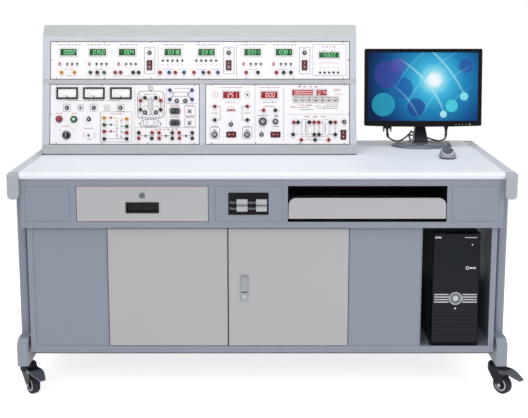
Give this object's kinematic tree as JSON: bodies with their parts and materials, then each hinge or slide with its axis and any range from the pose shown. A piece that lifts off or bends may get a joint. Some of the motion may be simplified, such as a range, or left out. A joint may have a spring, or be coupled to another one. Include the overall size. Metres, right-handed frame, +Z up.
{
  "type": "electrical training workstation",
  "caption": "Wheeled laboratory bench with a leaning instrument console, drawer, keyboard tray, two-door cupboard and computer bay, with a monitor, tower and mouse.",
  "frame": {"origin": "on the floor under the middle of the whole object, castor pedals included", "axes": "+X along the bench to the viewer's right, +Y to the rear, +Z up; the console faces -Y"},
  "size_m": [1.8607, 0.75, 1.3468],
  "materials": {
    "frame_aluminium": "satin painted extrusion with moulded end caps",
    "frame_steel": "satin light grey powder coat",
    "laminated_board": "white post-formed laminate on board, satin",
    "blue_grey_steel": "fine textured blue-grey powder coat",
    "warm_grey_steel": "fine textured light grey powder coat",
    "console_steel": "satin grey powder coat",
    "panel_board": "printed white instrument panel",
    "lock_chrome": "polished zinc",
    "black_plastic": "black moulding",
    "rocker_white": "white moulding",
    "rocker_red": "red moulding",
    "button_red": "red moulding",
    "button_green": "green moulding",
    "knob_grey": "grey moulding with a pointer line",
    "fork_steel": "black painted pressing",
    "wheel_tread": "black nylon wheel with a soft tread",
    "pedal_steel": "dark grey painted pressing",
    "screen_glass": "lit display behind clear glass",
    "base_plastic": "dark blue-grey moulding",
    "plug_plastic": "black moulding",
    "tower_steel": "black painted sheet steel",
    "tower_gloss": "gloss black moulding",
    "button_silver": "silver painted moulding",
    "mouse_plastic": "grey moulding",
    "lead_rubber": "black flexible sheath"
  },
  "bodies": {
    "bench": {"side_rail_left": "frame_aluminium", "side_rail_right": "frame_aluminium", "leg_frame_left": "frame_steel", "leg_frame_right": "frame_steel", "worktop": "laminated_board", "apron_carcass": "blue_grey_steel", "cabinet_carcass": "blue_grey_steel", "supply_plate": "black_plastic", "console_case": "console_steel", "upper_panel": "panel_board", "lower_panel_left": "panel_board", "lower_panel_right": "panel_board", "monitor_neck": "black_plastic", "monitor_base": "base_plastic", "tower_case": "tower_steel", "tower_front": "tower_gloss", "mouse": "mouse_plastic", "mouse_lead": "lead_rubber", "signal_lead": "lead_rubber", "power_lead": "lead_rubber"},
    "left_door": {"door_left": "warm_grey_steel"},
    "right_door": {"door_right": "warm_grey_steel", "door_lock_case": "lock_chrome"},
    "lock_lever": {"door_lock_lever": "lock_chrome"},
    "lock_button": {"door_lock_button": "lock_chrome"},
    "drawer_body": {"drawer": "warm_grey_steel", "drawer_pull": "black_plastic"},
    "drawer_cam_lock": {"drawer_lock": "lock_chrome"},
    "tray": {"keyboard_tray": "warm_grey_steel"},
    "monitor_head": {"monitor_shell": "black_plastic", "monitor_bezel": "black_plastic", "monitor_screen": "screen_glass", "signal_plug": "plug_plastic", "power_plug": "plug_plastic"},
    "power_button": {"tower_power_button": "button_silver"},
    "supply_rocker_left_body": {"supply_rocker_left": "rocker_white"},
    "supply_rocker_right_body": {"supply_rocker_right": "rocker_white"},
    "meter_rocker_a_body": {"meter_rocker_a": "rocker_red"},
    "meter_rocker_b_body": {"meter_rocker_b": "rocker_red"},
    "meter_rocker_c_body": {"meter_rocker_c": "rocker_red"},
    "generator_rocker_body": {"generator_rocker": "rocker_red"},
    "supply_rocker_dc_body": {"supply_rocker_dc": "rocker_red"},
    "current_rocker_body": {"current_rocker": "rocker_red"},
    "level_knob_left_body": {"level_knob_left": "knob_grey"},
    "level_knob_right_body": {"level_knob_right": "knob_grey"},
    "range_knob_body": {"range_knob": "knob_grey"},
    "fine_knob_body": {"fine_knob": "knob_grey"},
    "key_switch_body": {"key_switch": "black_plastic"},
    "stop_button_body": {"stop_button": "button_red"},
    "start_button_body": {"start_button": "button_green"},
    "fork_front_left": {"castor_fork_front_left": "fork_steel"},
    "wheel_front_left": {"castor_wheel_front_left": "wheel_tread"},
    "pedal_front_left": {"castor_pedal_front_left": "pedal_steel"},
    "fork_front_right": {"castor_fork_front_right": "fork_steel"},
    "wheel_front_right": {"castor_wheel_front_right": "wheel_tread"},
    "pedal_front_right": {"castor_pedal_front_right": "pedal_steel"},
    "fork_rear_left": {"castor_fork_rear_left": "fork_steel"},
    "wheel_rear_left": {"castor_wheel_rear_left": "wheel_tread"},
    "fork_rear_right": {"castor_fork_rear_right": "fork_steel"},
    "wheel_rear_right": {"castor_wheel_rear_right": "wheel_tread"}
  },
  "joints": [
    {"name": "left_door_hinge", "type": "hinge", "parent": "bench", "child": "left_door", "pos_m": [-0.57893, -0.337, 0.418], "axis": [0, 0, -1], "range_deg": [0, 110]},
    {"name": "right_door_hinge", "type": "hinge", "parent": "bench", "child": "right_door", "pos_m": [0.28207, -0.337, 0.418], "axis": [0, 0, 1], "range_deg": [0, 110]},
    {"name": "lock_lever_hinge", "type": "hinge", "parent": "right_door", "child": "lock_lever", "pos_m": [-0.09043, -0.3395, 0.4587], "axis": [-1, 0, 0], "range_deg": [0, 40]},
    {"name": "lock_button_travel", "type": "slide", "parent": "right_door", "child": "lock_button", "axis": [0, 1, 0], "range_m": [0, 0.003], "stiffness_N_per_m": 400},
    {"name": "drawer_travel", "type": "slide", "parent": "bench", "child": "drawer_body", "axis": [0, -1, 0], "range_m": [0, 0.3]},
    {"name": "drawer_lock_turn", "type": "hinge", "parent": "drawer_body", "child": "drawer_cam_lock", "pos_m": [-0.45243, -0.355, 0.7625], "axis": [0, -1, 0], "range_deg": [0, 90]},
    {"name": "tray_travel", "type": "slide", "parent": "bench", "child": "tray", "axis": [0, -1, 0], "range_m": [0, 0.28]},
    {"name": "supply_rocker_left_tilt", "type": "hinge", "parent": "bench", "child": "supply_rocker_left_body", "pos_m": [-0.09743, -0.3565, 0.728], "axis": [-1, 0, 0], "range_deg": [0, 12]},
    {"name": "supply_rocker_right_tilt", "type": "hinge", "parent": "bench", "child": "supply_rocker_right_body", "pos_m": [-0.02843, -0.3565, 0.728], "axis": [-1, 0, 0], "range_deg": [0, 12]},
    {"name": "meter_rocker_a_tilt", "type": "hinge", "parent": "bench", "child": "meter_rocker_a_body", "pos_m": [-0.46833, 0.06941, 1.19212], "axis": [-1, 0, 0], "range_deg": [0, 12]},
    {"name": "meter_rocker_b_tilt", "type": "hinge", "parent": "bench", "child": "meter_rocker_b_body", "pos_m": [-0.15802, 0.06941, 1.19212], "axis": [-1, 0, 0], "range_deg": [0, 12]},
    {"name": "meter_rocker_c_tilt", "type": "hinge", "parent": "bench", "child": "meter_rocker_c_body", "pos_m": [0.13942, 0.06941, 1.19212], "axis": [-1, 0, 0], "range_deg": [0, 12]},
    {"name": "generator_rocker_tilt", "type": "hinge", "parent": "bench", "child": "generator_rocker_body", "pos_m": [0.29086, 0.01981, 0.92349], "axis": [-1, 0, 0], "range_deg": [0, 12]},
    {"name": "supply_rocker_dc_tilt", "type": "hinge", "parent": "bench", "child": "supply_rocker_dc_body", "pos_m": [-0.14772, 0.02003, 0.92465], "axis": [0, 0.1815, 0.9834], "range_deg": [0, 12]},
    {"name": "current_rocker_tilt", "type": "hinge", "parent": "bench", "child": "current_rocker_body", "pos_m": [0.02512, 0.02003, 0.92465], "axis": [0, 0.1815, 0.9834], "range_deg": [0, 12]},
    {"name": "level_knob_left_turn", "type": "hinge", "parent": "bench", "child": "level_knob_left_body", "pos_m": [-0.21303, 0.02003, 0.92465], "axis": [0, 0.9834, -0.1815], "range_deg": [-135, 135]},
    {"name": "level_knob_right_turn", "type": "hinge", "parent": "bench", "child": "level_knob_right_body", "pos_m": [-0.08579, 0.02003, 0.92465], "axis": [0, 0.9834, -0.1815], "range_deg": [-135, 135]},
    {"name": "range_knob_turn", "type": "hinge", "parent": "bench", "child": "range_knob_body", "pos_m": [-0.02442, 0.02929, 0.9748], "axis": [0, 0.9834, -0.1815], "range_deg": [-135, 135]},
    {"name": "fine_knob_turn", "type": "hinge", "parent": "bench", "child": "fine_knob_body", "pos_m": [0.02512, 0.02929, 0.9748], "axis": [0, 0.9834, -0.1815], "range_deg": [-135, 135]},
    {"name": "key_switch_turn", "type": "hinge", "parent": "bench", "child": "key_switch_body", "pos_m": [-0.79211, 0.01964, 0.92257], "axis": [0, 0.9834, -0.1815], "range_deg": [0, 90]},
    {"name": "stop_button_travel", "type": "slide", "parent": "bench", "child": "stop_button_body", "axis": [0, 0.9834, -0.1815], "range_m": [0, 0.003], "stiffness_N_per_m": 400},
    {"name": "start_button_travel", "type": "slide", "parent": "bench", "child": "start_button_body", "axis": [0, 0.9834, -0.1815], "range_m": [0, 0.003], "stiffness_N_per_m": 400},
    {"name": "monitor_tilt", "type": "hinge", "parent": "bench", "child": "monitor_head", "pos_m": [0.63107, 0.3, 1.03], "axis": [-1, 0, 0], "range_deg": [-5, 12], "deforming": ["signal_lead", "power_lead"]},
    {"name": "power_button_travel", "type": "slide", "parent": "bench", "child": "power_button", "axis": [0, 1, 0], "range_m": [0, 0.002], "stiffness_N_per_m": 300},
    {"name": "castor_swivel_front_left", "type": "hinge", "parent": "bench", "child": "fork_front_left", "pos_m": [-0.89943, -0.277, 0.1127], "axis": [0, 0, 1], "continuous": true},
    {"name": "castor_spin_front_left", "type": "hinge", "parent": "fork_front_left", "child": "wheel_front_left", "pos_m": [-0.87951, -0.30075, 0.035], "axis": [0.766, 0.6428, 0], "continuous": true},
    {"name": "castor_pedal_front_left", "type": "hinge", "parent": "fork_front_left", "child": "pedal_front_left", "pos_m": [-0.87629, -0.30458, 0.088], "axis": [0.766, 0.6428, 0], "range_deg": [0, 15]},
    {"name": "castor_swivel_front_right", "type": "hinge", "parent": "bench", "child": "fork_front_right", "pos_m": [0.84757, -0.277, 0.1127], "axis": [0, 0, 1], "continuous": true},
    {"name": "castor_spin_front_right", "type": "hinge", "parent": "fork_front_right", "child": "wheel_front_right", "pos_m": [0.86749, -0.30075, 0.035], "axis": [0.766, 0.6428, 0], "continuous": true},
    {"name": "castor_pedal_front_right", "type": "hinge", "parent": "fork_front_right", "child": "pedal_front_right", "pos_m": [0.87071, -0.30458, 0.088], "axis": [0.766, 0.6428, 0], "range_deg": [0, 15]},
    {"name": "castor_swivel_rear_left", "type": "hinge", "parent": "bench", "child": "fork_rear_left", "pos_m": [-0.89943, 0.277, 0.1127], "axis": [0, 0, 1], "continuous": true},
    {"name": "castor_spin_rear_left", "type": "hinge", "parent": "fork_rear_left", "child": "wheel_rear_left", "pos_m": [-0.87951, 0.25325, 0.035], "axis": [0.766, 0.6428, 0], "continuous": true},
    {"name": "castor_swivel_rear_right", "type": "hinge", "parent": "bench", "child": "fork_rear_right", "pos_m": [0.84757, 0.277, 0.1127], "axis": [0, 0, 1], "continuous": true},
    {"name": "castor_spin_rear_right", "type": "hinge", "parent": "fork_rear_right", "child": "wheel_rear_right", "pos_m": [0.86749, 0.25325, 0.035], "axis": [0.766, 0.6428, 0], "continuous": true}
  ]
}
